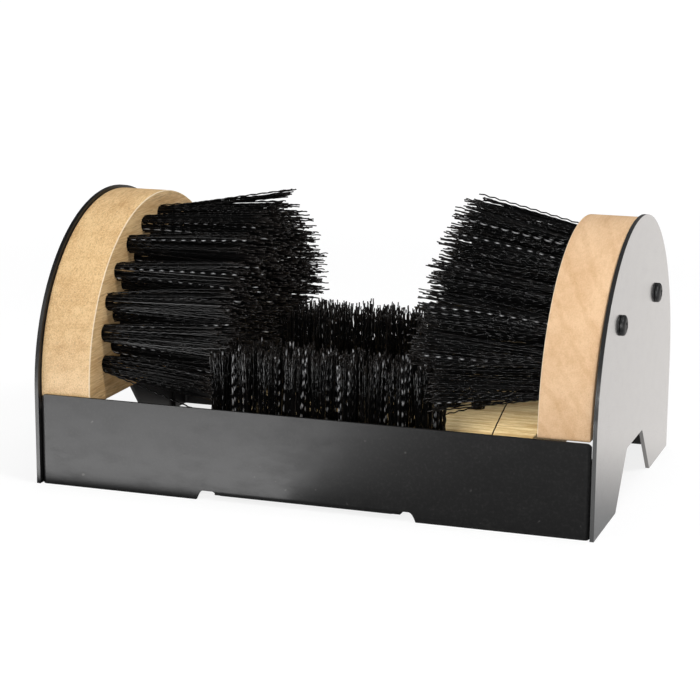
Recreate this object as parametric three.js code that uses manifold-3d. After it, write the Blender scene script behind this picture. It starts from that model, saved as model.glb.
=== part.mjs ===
// Boot scraper: a folded steel tray between two arched end plates, with a brush on the
// inner side of each plate and a third one standing in the tray.
// Sizes are in millimetres. X runs along the tray, Y from front to rear, Z up from the floor.
import * as THREE from 'three';
import { mergeVertices } from 'three/addons/utils/BufferGeometryUtils.js';
import Module from 'manifold-3d';

// Whole object
const LENGTH = 290;
const DEPTH = 186;
const CLEARANCE = 0.3;

// End plates: flat sheet, straight sides up to the shoulder and a half-round top
const PLATE = 2;
const SHOULDER_HEIGHT = 48;
const CUTOUT_HEIGHT = 27;
const CUTOUT_TOP_WIDTH = 39;
const CUTOUT_BOTTOM_WIDTH = 87;
const CUTOUT_FILLET = 1.5;

// Tray: front wall, cross strip and rear wall folded from one sheet
const SHEET = 1.5;
const WALL_HEIGHT = 46.8;
const WALL_INSET = 1.2;
const WALL_CORNER = 3;
const WALL_LOWER_CORNER = 1.5;
const FOLD_INNER_RADIUS = 1.5;
const FLANGE_LENGTH = 16;
const FLANGE_GAP = 3.5;
const STRIP_WIDTH = 97;
const STRIP_RISE = 2.2;
const STRIP_CHAMFER = 4.5;
const NOTCH_RISE = 2.6;
const NOTCH_LENGTH = 7;
const NOTCH_SLOPE = 1.8;

// Wooden brush blocks; a skirt is the straight part under the arch
const SIDE_BLOCK_THICKNESS = 27;
const SIDE_BLOCK_RISE = 1.5;
const LEFT_BLOCK_SKIRT = 8;
const RIGHT_BLOCK_SKIRT = 2.5;
const BASE_BLOCK_LENGTH = 175;
const BASE_BLOCK_WALL_GAP = 8.3;
const BASE_BLOCK_THICKNESS = 22;
const BASE_BLOCK_SHIFT = 7.5;
const BLOCK_ROUNDING = 1;

// Bristles: tufts set in the wood, each shown by a few stout strands
const BACKING = 3;
const BACKING_MARGIN = 5;
const TUFT_RADIUS = 2.2;
const TUFT_STRANDS = 3;
const STRAND_SIDES = 3;
const STRAND_RADIUS = 1.3;
const STRAND_ROOT = 1.5;
const RAGGED = 2.5;
const TUFT_TURN = 0.38;
const TUFT_RADIANS = 7;
const STRAND_RADIANS = 3;
const SIDE_BRISTLE_LENGTH = 64;
const SIDE_TUFT_TOP_MARGIN = 11.6;
const SIDE_TUFT_END_MARGIN = 18.6;
const SIDE_FLARE = 6;
const SIDE_TUFT_FAN = 4.8;
const OUTER_RING_TUFTS = 13;
const RING_STEP = 11;
const TUFT_FOOT_MARGIN = 19.2;
const BASE_BRISTLE_LENGTH = 45;
const BASE_TUFT_FAN = 4.2;
const BASE_TUFT_COLUMNS = 9;
const BASE_LEFT_MARGIN = 23;
const BASE_RIGHT_MARGIN = 43;
const BASE_ROWS = 3;
const BASE_ROW_PITCH = 12;
const BASE_ROW_MARGIN = 20;

// Screws: the side ones go through a plate, the low ones up through the strip
const SCREW_RADIUS = 2.1;
const SCREW_TIP = 4;
const SIDE_SCREW_SPACING = 89.2;
const SIDE_SCREW_RISE = 46.5;
const SIDE_SCREW_BITE = 16;
const SIDE_HEAD_RADIUS = 5.1;
const SIDE_HEAD_HEIGHT = 2.5;
const BASE_SCREW_STRIP_MARGIN = 18.5;
const BASE_SCREW_BLOCK_MARGIN = 30;
const BASE_SCREW_BITE = 13.5;
const BASE_HEAD_RADIUS = 4.5;
const BASE_HEAD_FLOOR_GAP = 0.4;
const RECESS_WIDTH = 1;
const RECESS_SPAN = 5;
const RECESS_DEPTH = 0.9;

// Smoothness of round shapes, how far a cut runs past a face, and the nearest that two
// points of an outline may lie
const ARCH_STEPS = 24;
const BACKING_STEPS = 12;
const FILLET_STEPS = 4;
const ROUND_STEPS = 20;
const OVERRUN = 1;
const NEAREST = 0.001;

// Places that follow from the sizes above
const ARCH_RADIUS = DEPTH / 2;
const WALL_FACE = DEPTH / 2 - WALL_INSET;
const WALL_BACK = WALL_FACE - SHEET;
const FOLD_RADIUS = FOLD_INNER_RADIUS + SHEET;
const FLANGE_FACE = LENGTH / 2 - PLATE - CLEARANCE;
const SIDE_BLOCK_CENTRE = SHOULDER_HEIGHT + SIDE_BLOCK_RISE;
const LONGEST_SKIRT = Math.max(LEFT_BLOCK_SKIRT, RIGHT_BLOCK_SKIRT);
const FLANGE_TOP = SIDE_BLOCK_CENTRE - LONGEST_SKIRT - FLANGE_GAP;
const STRIP_TOP = STRIP_RISE + SHEET;
const NOTCH_HEIGHT = STRIP_RISE + NOTCH_RISE;
const SIDE_BLOCK_RADIUS = WALL_BACK - CLEARANCE;
const SIDE_BLOCK_BACK = PLATE + CLEARANCE;
const SIDE_BLOCK_FACE = SIDE_BLOCK_BACK + SIDE_BLOCK_THICKNESS;
const BASE_BLOCK_DEPTH = 2 * (WALL_BACK - BASE_BLOCK_WALL_GAP);
const BASE_BLOCK_BOTTOM = STRIP_TOP + CLEARANCE;
const BASE_BLOCK_TOP = BASE_BLOCK_BOTTOM + BASE_BLOCK_THICKNESS;
const OUTER_RING_RADIUS = SIDE_BLOCK_RADIUS - SIDE_TUFT_TOP_MARGIN;
const OUTER_RING_HALF = SIDE_BLOCK_RADIUS - SIDE_TUFT_END_MARGIN;
const SIDE_SPREAD = 1 + SIDE_FLARE / OUTER_RING_RADIUS;
const BASE_BLOCK_LEFT = BASE_BLOCK_SHIFT - BASE_BLOCK_LENGTH / 2;
const BASE_BLOCK_RIGHT = BASE_BLOCK_SHIFT + BASE_BLOCK_LENGTH / 2;
const BASE_FIELD_LEFT = BASE_BLOCK_LEFT + BASE_LEFT_MARGIN;
const BASE_FIELD_RIGHT = BASE_BLOCK_RIGHT - BASE_RIGHT_MARGIN;
const BASE_TUFT_PITCH = (BASE_FIELD_RIGHT - BASE_FIELD_LEFT) / (BASE_TUFT_COLUMNS - 1);
const BASE_OUTER_ROW = BASE_BLOCK_DEPTH / 2 - BASE_ROW_MARGIN;
const BASE_INNER_ROW = BASE_OUTER_ROW - (BASE_ROWS - 1) * BASE_ROW_PITCH;
const BASE_TIP_HEIGHT = BASE_BLOCK_TOP + BASE_BRISTLE_LENGTH;
const LOW_STRAND_ROOM = LENGTH / 2 - SIDE_BLOCK_FACE - BASE_TUFT_FAN - STRAND_RADIUS - CLEARANCE;
const SCREW_HOLE_RADIUS = SCREW_RADIUS + CLEARANCE;
const SIDE_SCREW_HEIGHT = SHOULDER_HEIGHT + SIDE_SCREW_RISE;
const SIDE_SCREW_LENGTH = PLATE + SIDE_SCREW_BITE;
const BASE_SCREW_X = STRIP_WIDTH / 2 - BASE_SCREW_STRIP_MARGIN;
const BASE_SCREW_Y = BASE_BLOCK_DEPTH / 2 - BASE_SCREW_BLOCK_MARGIN;
const BASE_SCREW_LENGTH = SHEET + BASE_SCREW_BITE;
const BASE_HEAD_HEIGHT = STRIP_RISE - CLEARANCE - BASE_HEAD_FLOOR_GAP;

// Finishes
const blackPaint = { color: 0x1b1b1d, roughness: 0.38, metalness: 0.3 };
const blackScrew = { color: 0x151515, roughness: 0.45, metalness: 0.6 };
const paleWood = { color: 0xd8b888, roughness: 0.62, metalness: 0 };
const blackBristle = { color: 0x0e0e0f, roughness: 0.4, metalness: 0 };

const X = new THREE.Vector3(1, 0, 0);
const Y = new THREE.Vector3(0, 1, 0);
const Z = new THREE.Vector3(0, 0, 1);

const wasm = await Module();
wasm.setup();

// A closed geometry as a solid that can be cut and joined
function solid(geometry) {
  const bare = geometry.clone();
  bare.deleteAttribute('normal');
  bare.deleteAttribute('uv');
  const merged = mergeVertices(bare);
  const vertProperties = new Float32Array(merged.attributes.position.array);
  const triVerts = new Uint32Array(merged.index.array);
  return new wasm.Manifold(new wasm.Mesh({ numProp: 3, vertProperties, triVerts }));
}

function toGeometry(body) {
  const mesh = body.getMesh();
  const geometry = new THREE.BufferGeometry();
  geometry.setAttribute('position', new THREE.BufferAttribute(new Float32Array(mesh.vertProperties), 3));
  geometry.setIndex(new THREE.BufferAttribute(new Uint32Array(mesh.triVerts), 1));
  geometry.computeVertexNormals();
  return geometry;
}

function piece(name, geometry, finish) {
  const mesh = new THREE.Mesh(geometry, new THREE.MeshStandardMaterial(finish));
  mesh.name = name;
  return mesh;
}

// An outline in XY given thickness along Z
function slab(shape, thickness, curveSegments = ARCH_STEPS) {
  return new THREE.ExtrudeGeometry(shape, { depth: thickness, bevelEnabled: false, curveSegments });
}

function box(x0, x1, y0, y1, z0, z1) {
  const geometry = new THREE.BoxGeometry(x1 - x0, y1 - y0, z1 - z0);
  return geometry.translate((x0 + x1) / 2, (y0 + y1) / 2, (z0 + z1) / 2);
}

// A rod along Z, from z0 to z1
function rod(radius, x, y, z0, z1) {
  const geometry = new THREE.CylinderGeometry(radius, radius, z1 - z0, ROUND_STEPS);
  return geometry.rotateX(Math.PI / 2).translate(x, y, (z0 + z1) / 2);
}

// Turns what is drawn along X, Y and Z to lie along three other directions
function turned(across, up, out) {
  return new THREE.Matrix4().makeBasis(across, up, out);
}

// The outline of a half-round top on straight sides
function archShape(radius, centreHeight, bottom) {
  const shape = new THREE.Shape();
  shape.moveTo(-radius, bottom);
  shape.lineTo(radius, bottom);
  shape.lineTo(radius, centreHeight);
  shape.absarc(0, centreHeight, radius, 0, Math.PI, false);
  shape.closePath();
  return shape;
}

// End plate, drawn flat: X across, Y up, its outer face at Z = 0
function endPlate() {
  const shape = new THREE.Shape();
  const topHalf = CUTOUT_TOP_WIDTH / 2;
  const bottomHalf = CUTOUT_BOTTOM_WIDTH / 2;
  const side = new THREE.Vector2(bottomHalf - topHalf, -CUTOUT_HEIGHT).setLength(CUTOUT_FILLET);
  shape.moveTo(-ARCH_RADIUS, 0);
  shape.lineTo(-bottomHalf, 0);
  shape.lineTo(-topHalf - side.x, CUTOUT_HEIGHT + side.y);
  shape.quadraticCurveTo(-topHalf, CUTOUT_HEIGHT, -topHalf + CUTOUT_FILLET, CUTOUT_HEIGHT);
  shape.lineTo(topHalf - CUTOUT_FILLET, CUTOUT_HEIGHT);
  shape.quadraticCurveTo(topHalf, CUTOUT_HEIGHT, topHalf + side.x, CUTOUT_HEIGHT + side.y);
  shape.lineTo(bottomHalf, 0);
  shape.lineTo(ARCH_RADIUS, 0);
  shape.lineTo(ARCH_RADIUS, SHOULDER_HEIGHT);
  shape.absarc(0, SHOULDER_HEIGHT, ARCH_RADIUS, 0, Math.PI, false);
  shape.closePath();
  let body = solid(slab(shape, PLATE));
  for (const x of [-SIDE_SCREW_SPACING / 2, SIDE_SCREW_SPACING / 2]) {
    const hole = rod(SCREW_HOLE_RADIUS, x, SIDE_SCREW_HEIGHT, -OVERRUN, PLATE + OVERRUN);
    body = body.subtract(solid(hole));
  }
  return toGeometry(body);
}

// Outline in XY of the front wall with its ends folded back as flanges
function wallShape() {
  const flangeEnd = -WALL_FACE + FLANGE_LENGTH;
  const foldX = FLANGE_FACE - FOLD_RADIUS;
  const foldY = -WALL_FACE + FOLD_RADIUS;
  const shape = new THREE.Shape();
  shape.moveTo(-FLANGE_FACE, flangeEnd);
  shape.lineTo(-FLANGE_FACE, foldY);
  shape.absarc(-foldX, foldY, FOLD_RADIUS, Math.PI, Math.PI * 1.5, false);
  shape.lineTo(foldX, -WALL_FACE);
  shape.absarc(foldX, foldY, FOLD_RADIUS, -Math.PI / 2, 0, false);
  shape.lineTo(FLANGE_FACE, flangeEnd);
  shape.lineTo(FLANGE_FACE - SHEET, flangeEnd);
  shape.lineTo(FLANGE_FACE - SHEET, foldY);
  shape.absarc(foldX, foldY, FOLD_INNER_RADIUS, 0, -Math.PI / 2, true);
  shape.lineTo(-foldX, -WALL_BACK);
  shape.absarc(-foldX, foldY, FOLD_INNER_RADIUS, Math.PI * 1.5, Math.PI, true);
  shape.closePath();
  return shape;
}

// What is cut from under the walls, as an outline in XZ: the strip's place and the relief
// notches on both sides of it
function underShape() {
  const stripHalf = STRIP_WIDTH / 2;
  const notchEnd = stripHalf + NOTCH_LENGTH;
  const foldTop = STRIP_RISE + FOLD_RADIUS;
  const shape = new THREE.Shape();
  shape.moveTo(-notchEnd - NOTCH_SLOPE, -OVERRUN);
  shape.lineTo(notchEnd + NOTCH_SLOPE, -OVERRUN);
  shape.lineTo(notchEnd + NOTCH_SLOPE, 0);
  shape.quadraticCurveTo(notchEnd, NOTCH_HEIGHT, notchEnd - NOTCH_SLOPE, NOTCH_HEIGHT);
  shape.lineTo(stripHalf, NOTCH_HEIGHT);
  shape.lineTo(stripHalf, foldTop);
  shape.lineTo(-stripHalf, foldTop);
  shape.lineTo(-stripHalf, NOTCH_HEIGHT);
  shape.lineTo(-notchEnd + NOTCH_SLOPE, NOTCH_HEIGHT);
  shape.quadraticCurveTo(-notchEnd, NOTCH_HEIGHT, -notchEnd - NOTCH_SLOPE, 0);
  shape.closePath();
  return shape;
}

// An outline drawn in XZ, given thickness along Y from y0 to y1
function throughY(shape, y0, y1) {
  return slab(shape, y1 - y0, FILLET_STEPS).rotateX(Math.PI / 2).translate(0, y1, 0);
}

// What a corner loses when it is rounded: a square block less a rod along Y
function cornerWaste(x, z, radius, sideX, sideZ) {
  const cx = x - sideX * radius;
  const cz = z - sideZ * radius;
  const farX = x + sideX * OVERRUN;
  const farZ = z + sideZ * OVERRUN;
  const square = box(
    Math.min(cx, farX), Math.max(cx, farX),
    -ARCH_RADIUS, ARCH_RADIUS,
    Math.min(cz, farZ), Math.max(cz, farZ),
  );
  const round = new THREE.CylinderGeometry(radius, radius, DEPTH + 2 * OVERRUN, ROUND_STEPS);
  return solid(square).subtract(solid(round.translate(cx, 0, cz)));
}

// The cross strip with the folds that turn it up into the walls, as an outline in YZ
function stripShape() {
  const foldY = WALL_FACE - FOLD_RADIUS;
  const foldZ = STRIP_RISE + FOLD_RADIUS;
  const lap = foldZ + FOLD_RADIUS;
  const shape = new THREE.Shape();
  shape.moveTo(-WALL_FACE, lap);
  shape.lineTo(-WALL_FACE, foldZ);
  shape.absarc(-foldY, foldZ, FOLD_RADIUS, Math.PI, Math.PI * 1.5, false);
  shape.lineTo(foldY, STRIP_RISE);
  shape.absarc(foldY, foldZ, FOLD_RADIUS, -Math.PI / 2, 0, false);
  shape.lineTo(WALL_FACE, lap);
  shape.lineTo(WALL_BACK, lap);
  shape.lineTo(WALL_BACK, foldZ);
  shape.absarc(foldY, foldZ, FOLD_INNER_RADIUS, 0, -Math.PI / 2, true);
  shape.lineTo(-foldY, STRIP_TOP);
  shape.absarc(-foldY, foldZ, FOLD_INNER_RADIUS, Math.PI * 1.5, Math.PI, true);
  shape.closePath();
  return shape;
}

function foldedTray() {
  const inside = WALL_FACE - FOLD_RADIUS;
  const wall = slab(wallShape(), WALL_HEIGHT, FILLET_STEPS);
  const rear = wall.clone().rotateZ(Math.PI);
  let walls = solid(wall).add(solid(rear));
  for (const sideX of [-1, 1]) {
    walls = walls.subtract(cornerWaste(sideX * FLANGE_FACE, WALL_HEIGHT, WALL_CORNER, sideX, 1));
    walls = walls.subtract(cornerWaste(sideX * FLANGE_FACE, 0, WALL_LOWER_CORNER, sideX, -1));
  }
  const flangeWaste = box(-LENGTH, LENGTH, -WALL_BACK, WALL_BACK, FLANGE_TOP, WALL_HEIGHT + OVERRUN);
  walls = walls.subtract(solid(flangeWaste));
  walls = walls.subtract(solid(throughY(underShape(), -DEPTH, DEPTH)));
  const stripHalf = STRIP_WIDTH / 2;
  const strip = slab(stripShape(), STRIP_WIDTH, FILLET_STEPS);
  strip.applyMatrix4(turned(Y, Z, X).setPosition(-stripHalf, 0, 0));
  let crossStrip = solid(strip);
  for (const side of [-1, 1]) {
    const slope = new THREE.Shape();
    slope.moveTo(side * (stripHalf + OVERRUN), -OVERRUN);
    slope.lineTo(side * (stripHalf + OVERRUN), NOTCH_HEIGHT);
    slope.lineTo(side * stripHalf, NOTCH_HEIGHT);
    slope.lineTo(side * (stripHalf - STRIP_CHAMFER), STRIP_RISE);
    slope.lineTo(side * (stripHalf - STRIP_CHAMFER), -OVERRUN);
    slope.closePath();
    crossStrip = crossStrip.subtract(solid(throughY(slope, -DEPTH, -inside)));
    crossStrip = crossStrip.subtract(solid(throughY(slope, inside, DEPTH)));
  }
  let tray = walls.add(crossStrip);
  for (const [x, y] of baseScrewPlaces()) {
    tray = tray.subtract(solid(rod(SCREW_HOLE_RADIUS, x, y, 0, STRIP_TOP + OVERRUN)));
  }
  return toGeometry(tray);
}

function baseScrewPlaces() {
  const places = [];
  for (const x of [-BASE_SCREW_X, BASE_SCREW_X]) {
    for (const y of [-BASE_SCREW_Y, BASE_SCREW_Y]) {
      places.push([x, y]);
    }
  }
  return places;
}

// Where the drilled tufts stand on a side block: rings round the block's centre, evenly
// spaced between ends that lie at one height over the block's foot, every second ring turned
// by half a step. Towards the front and rear edges a ring runs straight down.
function sideTufts(skirt) {
  const tufts = [];
  const lowest = TUFT_FOOT_MARGIN - skirt;
  const outerSweep = Math.PI - 2 * Math.asin(lowest / OUTER_RING_RADIUS);
  const pitch = (OUTER_RING_RADIUS * outerSweep) / (OUTER_RING_TUFTS - 1);
  const smallest = Math.max(RING_STEP, lowest);
  for (let ring = 0; OUTER_RING_RADIUS - ring * RING_STEP > smallest; ring += 1) {
    const radius = OUTER_RING_RADIUS - ring * RING_STEP;
    const reach = OUTER_RING_HALF - ring * RING_STEP;
    const start = Math.asin(lowest / radius);
    const sweep = Math.PI - 2 * start;
    const steps = Math.max(1, Math.round((radius * sweep) / pitch));
    const half = ring % 2 === 0 ? 0 : 0.5;
    for (let i = 0; i + half <= steps; i += 1) {
      const angle = start + (sweep * (i + half)) / steps;
      const across = THREE.MathUtils.clamp(radius * Math.cos(angle), -reach, reach);
      tufts.push([across, SIDE_BLOCK_CENTRE + radius * Math.sin(angle)]);
    }
  }
  return tufts;
}

// One band of tufts on the base block: straight rows along X, starting at the outer row
function baseTufts(side) {
  const tufts = [];
  for (let row = 0; row < BASE_ROWS; row += 1) {
    for (let column = 0; column < BASE_TUFT_COLUMNS; column += 1) {
      const x = BASE_FIELD_LEFT + column * BASE_TUFT_PITCH;
      tufts.push([x, side * (BASE_OUTER_ROW - row * BASE_ROW_PITCH)]);
    }
  }
  return tufts;
}

// How far a strand is cut short of its full length: different from one to the next, never random
function shortening(tuft, strand) {
  return (RAGGED / 2) * (1 + Math.sin(TUFT_RADIANS * tuft + STRAND_RADIANS * strand));
}

// Straight strands rising along Z out of their backing, whose face is at Z = 0.
// Roots and tips of a tuft keep the same order round its centre, so no two strands cross.
// A strand whose tip lies below lowLine is cut to lowLength.
function strands(tufts, { length, fan, spread = 1, centre = [0, 0], lowLine = -Infinity, lowLength = 0 }) {
  const positions = [];
  const indices = [];
  tufts.forEach(([x, y], tuft) => {
    const tipX = centre[0] + spread * (x - centre[0]);
    const tipY = centre[1] + spread * (y - centre[1]);
    for (let k = 0; k < TUFT_STRANDS; k += 1) {
      const angle = 2 * Math.PI * (k / TUFT_STRANDS + tuft * TUFT_TURN);
      const fullY = tipY + fan * Math.sin(angle);
      const whole = fullY < lowLine ? lowLength : length;
      const tipLength = whole - shortening(tuft, k);
      const first = positions.length / 3;
      const ends = [
        [x + TUFT_RADIUS * Math.cos(angle), y + TUFT_RADIUS * Math.sin(angle), -STRAND_ROOT],
        [tipX + fan * Math.cos(angle), fullY, tipLength],
      ];
      for (const [ex, ey, ez] of ends) {
        for (let corner = 0; corner < STRAND_SIDES; corner += 1) {
          const turn = angle + (2 * Math.PI * corner) / STRAND_SIDES;
          positions.push(ex + STRAND_RADIUS * Math.cos(turn), ey + STRAND_RADIUS * Math.sin(turn), ez);
        }
      }
      const tip = first + STRAND_SIDES;
      for (let corner = 0; corner < STRAND_SIDES; corner += 1) {
        const next = (corner + 1) % STRAND_SIDES;
        indices.push(first + corner, first + next, tip + next);
        indices.push(first + corner, tip + next, tip + corner);
      }
      for (let corner = 1; corner < STRAND_SIDES - 1; corner += 1) {
        indices.push(first, first + corner + 1, first + corner);
        indices.push(tip, tip + corner, tip + corner + 1);
      }
    }
  });
  const geometry = new THREE.BufferGeometry();
  geometry.setAttribute('position', new THREE.Float32BufferAttribute(positions, 3));
  geometry.setIndex(indices);
  return geometry;
}

// A slice of the wood with its strands, standing on Z = 0
function brush(backingShape, tufts, bristle) {
  const slice = slab(backingShape, BACKING, BACKING_STEPS).translate(0, 0, -BACKING);
  return toGeometry(solid(slice).add(solid(strands(tufts, bristle))));
}

// The D-shaped slice of a side block that holds its tufts, larger by the given play
function sideBackingShape(skirt, play) {
  const radius = OUTER_RING_RADIUS + BACKING_MARGIN + play;
  const start = Math.asin((TUFT_FOOT_MARGIN - skirt - BACKING_MARGIN - play) / radius);
  const shape = new THREE.Shape();
  shape.absarc(0, SIDE_BLOCK_CENTRE, radius, start, Math.PI - start, false);
  shape.closePath();
  return shape;
}

function baseBackingShape(side, play) {
  const left = BASE_FIELD_LEFT - BACKING_MARGIN - play;
  const right = BASE_FIELD_RIGHT + BACKING_MARGIN + play;
  const outerY = side * (BASE_OUTER_ROW + BACKING_MARGIN + play);
  const innerY = side * (BASE_INNER_ROW - BACKING_MARGIN - play);
  const shape = new THREE.Shape();
  shape.moveTo(left, Math.min(outerY, innerY));
  shape.lineTo(right, Math.min(outerY, innerY));
  shape.lineTo(right, Math.max(outerY, innerY));
  shape.lineTo(left, Math.max(outerY, innerY));
  shape.closePath();
  return shape;
}

// Wood with slightly rounded edges, from an outline in XY and between two heights
function woodBlock(shape, bottom, top) {
  const points = shape.getPoints(ARCH_STEPS);
  const distinct = points.filter((point, i) => point.distanceTo(points.at(i - 1)) > NEAREST);
  const geometry = new THREE.ExtrudeGeometry(new THREE.Shape(distinct), {
    depth: top - bottom - 2 * BLOCK_ROUNDING,
    bevelThickness: BLOCK_ROUNDING,
    bevelSize: BLOCK_ROUNDING,
    bevelOffset: -BLOCK_ROUNDING,
    bevelSegments: 2,
  });
  return solid(geometry.translate(0, 0, bottom + BLOCK_ROUNDING));
}

// Side block with the pocket for its backing and blind holes for its two screws
function sideBlock(skirt) {
  const outline = archShape(SIDE_BLOCK_RADIUS, SIDE_BLOCK_CENTRE, SIDE_BLOCK_CENTRE - skirt);
  let block = woodBlock(outline, SIDE_BLOCK_BACK, SIDE_BLOCK_FACE);
  const pocket = slab(sideBackingShape(skirt, CLEARANCE), BACKING + OVERRUN, BACKING_STEPS);
  block = block.subtract(solid(pocket.translate(0, 0, SIDE_BLOCK_FACE - BACKING - CLEARANCE)));
  for (const x of [-SIDE_SCREW_SPACING / 2, SIDE_SCREW_SPACING / 2]) {
    const end = SIDE_SCREW_LENGTH + CLEARANCE;
    block = block.subtract(solid(rod(SCREW_HOLE_RADIUS, x, SIDE_SCREW_HEIGHT, 0, end)));
  }
  return toGeometry(block);
}

function baseBlock() {
  const outline = new THREE.Shape();
  outline.moveTo(BASE_BLOCK_LEFT, -BASE_BLOCK_DEPTH / 2);
  outline.lineTo(BASE_BLOCK_RIGHT, -BASE_BLOCK_DEPTH / 2);
  outline.lineTo(BASE_BLOCK_RIGHT, BASE_BLOCK_DEPTH / 2);
  outline.lineTo(BASE_BLOCK_LEFT, BASE_BLOCK_DEPTH / 2);
  outline.closePath();
  let block = woodBlock(outline, BASE_BLOCK_BOTTOM, BASE_BLOCK_TOP);
  for (const side of [-1, 1]) {
    const pocket = slab(baseBackingShape(side, CLEARANCE), BACKING + OVERRUN);
    block = block.subtract(solid(pocket.translate(0, 0, BASE_BLOCK_TOP - BACKING - CLEARANCE)));
  }
  for (const [x, y] of baseScrewPlaces()) {
    const end = STRIP_RISE + BASE_SCREW_LENGTH + CLEARANCE;
    block = block.subtract(solid(rod(SCREW_HOLE_RADIUS, x, y, 0, end)));
  }
  return toGeometry(block);
}

// Wood screw along Z with the underside of its domed head at Z = 0 and its tip at +length
function screw(length, headRadius, headHeight) {
  const profile = [new THREE.Vector2(0, length), new THREE.Vector2(SCREW_RADIUS, length - SCREW_TIP)];
  profile.push(new THREE.Vector2(SCREW_RADIUS, 0), new THREE.Vector2(headRadius, 0));
  for (let i = 1; i < FILLET_STEPS; i += 1) {
    const angle = (Math.PI / 2) * (i / FILLET_STEPS);
    profile.push(new THREE.Vector2(headRadius * Math.cos(angle), -headHeight * Math.sin(angle)));
  }
  profile.push(new THREE.Vector2(0, -headHeight));
  const lathe = new THREE.LatheGeometry(profile.reverse(), ROUND_STEPS).rotateX(Math.PI / 2);
  let body = solid(lathe);
  const half = RECESS_SPAN / 2;
  const floor = RECESS_DEPTH - headHeight;
  const bar = box(-half, half, -RECESS_WIDTH / 2, RECESS_WIDTH / 2, -headHeight - OVERRUN, floor);
  for (const turn of [Math.PI / 4, -Math.PI / 4]) {
    body = body.subtract(solid(bar.clone().rotateZ(turn)));
  }
  return toGeometry(body);
}

const object = new THREE.Group();
object.add(piece('folded_tray', foldedTray(), blackPaint));

// Each end is drawn with its plate's outer face at Z = 0 and everything else inwards of it
const ends = [
  { side: 'left', way: 1, skirt: LEFT_BLOCK_SKIRT, baseField: -BASE_FIELD_LEFT },
  { side: 'right', way: -1, skirt: RIGHT_BLOCK_SKIRT, baseField: BASE_FIELD_RIGHT },
];
for (const { side, way, skirt, baseField } of ends) {
  const group = new THREE.Group();
  const across = Y.clone().multiplyScalar(way);
  const inwards = X.clone().multiplyScalar(way);
  group.applyMatrix4(turned(across, Z, inwards).setPosition((-way * LENGTH) / 2, 0, 0));
  group.add(piece(`${side}_end_plate`, endPlate(), blackPaint));
  group.add(piece(`${side}_brush_block`, sideBlock(skirt), paleWood));
  const bristles = piece(`${side}_bristles`, brush(sideBackingShape(skirt, 0), sideTufts(skirt), {
    length: SIDE_BRISTLE_LENGTH,
    fan: SIDE_TUFT_FAN,
    spread: SIDE_SPREAD,
    centre: [0, SIDE_BLOCK_CENTRE],
    lowLine: BASE_TIP_HEIGHT + STRAND_RADIUS + CLEARANCE,
    lowLength: LOW_STRAND_ROOM - baseField,
  }), blackBristle);
  bristles.position.z = SIDE_BLOCK_FACE;
  group.add(bristles);
  for (const [place, y] of [['front', -SIDE_SCREW_SPACING / 2], ['rear', SIDE_SCREW_SPACING / 2]]) {
    const geometry = screw(SIDE_SCREW_LENGTH, SIDE_HEAD_RADIUS, SIDE_HEAD_HEIGHT);
    const fastener = piece(`${side}_plate_screw_${place}`, geometry, blackScrew);
    fastener.position.set(y * way, SIDE_SCREW_HEIGHT, -CLEARANCE);
    group.add(fastener);
  }
  object.add(group);
}

object.add(piece('base_brush_block', baseBlock(), paleWood));
for (const [place, side] of [['front', -1], ['rear', 1]]) {
  const bristle = { length: BASE_BRISTLE_LENGTH, fan: BASE_TUFT_FAN };
  const brushOnItsSlice = brush(baseBackingShape(side, 0), baseTufts(side), bristle);
  const bristles = piece(`base_bristles_${place}`, brushOnItsSlice, blackBristle);
  bristles.position.z = BASE_BLOCK_TOP;
  object.add(bristles);
}
baseScrewPlaces().forEach(([x, y], number) => {
  const fastener = piece(`base_block_screw_${number + 1}`,
    screw(BASE_SCREW_LENGTH, BASE_HEAD_RADIUS, BASE_HEAD_HEIGHT), blackScrew);
  fastener.position.set(x, y, STRIP_RISE - CLEARANCE);
  object.add(fastener);
});

export default object;
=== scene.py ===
import math

import bmesh
import bpy
import numpy as np
from mathutils import Euler, Matrix, Vector


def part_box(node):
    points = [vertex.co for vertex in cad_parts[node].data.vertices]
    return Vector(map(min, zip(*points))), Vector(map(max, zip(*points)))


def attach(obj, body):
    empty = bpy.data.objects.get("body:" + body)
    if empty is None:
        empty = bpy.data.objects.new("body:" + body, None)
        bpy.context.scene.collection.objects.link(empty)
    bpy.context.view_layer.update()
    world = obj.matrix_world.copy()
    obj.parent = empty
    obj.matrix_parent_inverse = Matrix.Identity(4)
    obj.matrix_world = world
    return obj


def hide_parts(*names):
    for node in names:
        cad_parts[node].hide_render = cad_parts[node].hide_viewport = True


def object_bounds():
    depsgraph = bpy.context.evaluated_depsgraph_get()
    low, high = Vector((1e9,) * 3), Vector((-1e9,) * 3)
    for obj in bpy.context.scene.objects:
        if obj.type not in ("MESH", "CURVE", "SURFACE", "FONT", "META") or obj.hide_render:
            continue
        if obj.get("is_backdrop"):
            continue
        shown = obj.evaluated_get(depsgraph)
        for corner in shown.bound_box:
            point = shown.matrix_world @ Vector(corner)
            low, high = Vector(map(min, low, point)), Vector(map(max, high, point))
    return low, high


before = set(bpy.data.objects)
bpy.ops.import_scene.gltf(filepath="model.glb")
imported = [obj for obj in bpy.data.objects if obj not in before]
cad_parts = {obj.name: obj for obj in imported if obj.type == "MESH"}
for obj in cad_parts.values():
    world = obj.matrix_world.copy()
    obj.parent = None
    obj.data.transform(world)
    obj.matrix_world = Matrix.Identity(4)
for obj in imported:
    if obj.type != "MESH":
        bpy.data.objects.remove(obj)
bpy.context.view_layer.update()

# Folded tray: front wall, cross strip and rear wall bent from one sheet of steel, its ends
# folded in against the end plates, then sprayed satin black. The paint has picked up dust,
# pale specks and faint wiping smears.
PAINT_BLACK = (0.006, 0.006, 0.0062, 1)
PAINT_DUST = (0.11, 0.105, 0.10, 1)
GRAIN_DULLING = 0.05
PEEL_STRENGTH = 0.12
PEEL_DEPTH = 0.0001
LACQUER_ROUGHNESS = 0.12
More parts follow.
